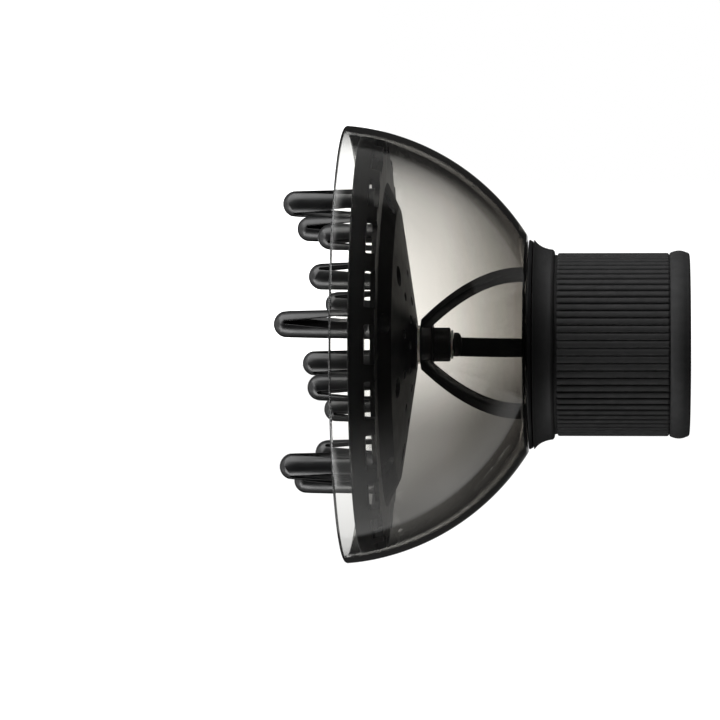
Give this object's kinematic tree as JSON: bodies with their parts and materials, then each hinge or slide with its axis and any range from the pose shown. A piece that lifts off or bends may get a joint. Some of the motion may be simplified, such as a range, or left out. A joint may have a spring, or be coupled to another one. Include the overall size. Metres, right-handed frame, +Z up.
{
  "type": "dryer diffuser",
  "caption": "Universal hair dryer diffuser: a smoked transparent bowl on a soft ribbed sleeve, with a dished head of slotted hollow fingers that turns on a spider in the bowl.",
  "frame": {"origin": "centre of the sleeve's open end, where the dryer's nozzle goes in", "axes": "+X along the centreline towards the dryer, so the fingers point to -X; +Z up; -Y towards a person who looks at its side"},
  "size_m": [0.1369, 0.15, 0.15],
  "materials": {
    "sleeve_silicone": "matte moulded silicone, dark grey",
    "clamp_plastic": "matte moulded plastic, near black",
    "black_plastic": "satin moulded plastic, black",
    "finger_plastic": "satin-gloss moulded plastic, black",
    "smoked_plastic": "polished transparent plastic, smoked grey",
    "white_plastic": "smooth natural acetal",
    "nut_steel": "zinc-plated steel"
  },
  "bodies": {
    "housing": {"sleeve": "sleeve_silicone", "clamp_ring": "clamp_plastic", "neck_ring": "black_plastic", "bowl": "smoked_plastic", "spider": "black_plastic", "bearing_bush": "white_plastic"},
    "finger_head": {"axle_pin": "black_plastic", "rear_washer": "white_plastic", "thrust_washer": "white_plastic", "finger_plate": "black_plastic", "axle_nut": "nut_steel", "hub_cap": "black_plastic", "outer_finger_1": "finger_plastic", "outer_finger_2": "finger_plastic", "outer_finger_3": "finger_plastic", "outer_finger_4": "finger_plastic", "outer_finger_5": "finger_plastic", "outer_finger_6": "finger_plastic", "inner_finger_1": "finger_plastic", "inner_finger_2": "finger_plastic", "inner_finger_3": "finger_plastic", "inner_finger_4": "finger_plastic", "inner_finger_5": "finger_plastic", "inner_finger_6": "finger_plastic"}
  },
  "joints": [
    {"name": "head_spin", "type": "hinge", "parent": "housing", "child": "finger_head", "pos_m": [-0.09, 0, 0], "axis": [1, 0, 0], "continuous": true}
  ]
}
